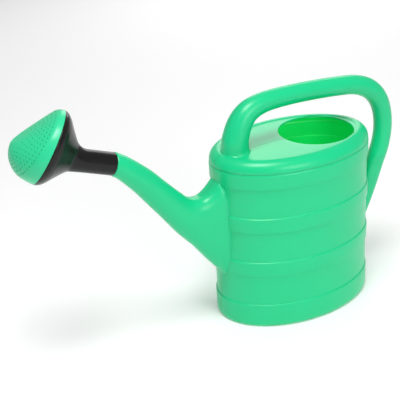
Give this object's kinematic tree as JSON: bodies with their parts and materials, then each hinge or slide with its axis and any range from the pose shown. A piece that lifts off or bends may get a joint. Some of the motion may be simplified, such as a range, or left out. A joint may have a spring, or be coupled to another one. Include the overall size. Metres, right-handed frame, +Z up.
{
  "type": "watering can",
  "caption": "Oval ten-litre plastic watering can with a loop handle, a long spout and a turning, domed sprinkler rose.",
  "frame": {"origin": "middle of the tank's flat underside, on the surface it stands on", "axes": "+Z up, the spout and rose point along -X, the handle's back leg is at +X, and y = 0 is the can's middle plane"},
  "size_m": [0.6224, 0.18, 0.3991],
  "materials": {
    "can_green": "satin blow-moulded polyethylene, bright green",
    "rose_black": "satin injection-moulded polypropylene, black",
    "rose_green": "satin injection-moulded polypropylene, bright green"
  },
  "bodies": {
    "can": {"tank": "can_green", "spout": "can_green", "handle": "can_green"},
    "rose": {"rose_housing": "rose_black"},
    "face": {"rose_face": "rose_green"}
  },
  "joints": [
    {"name": "rose_turn", "type": "hinge", "parent": "can", "child": "rose", "pos_m": [-0.2904, 0, 0.3092], "axis": [-0.9354, 0, 0.3535], "continuous": true},
    {"name": "face_lift_off", "type": "slide", "parent": "rose", "child": "face", "axis": [-0.8, 0.276, 0.5328], "range_m": [0, 0.03]}
  ]
}
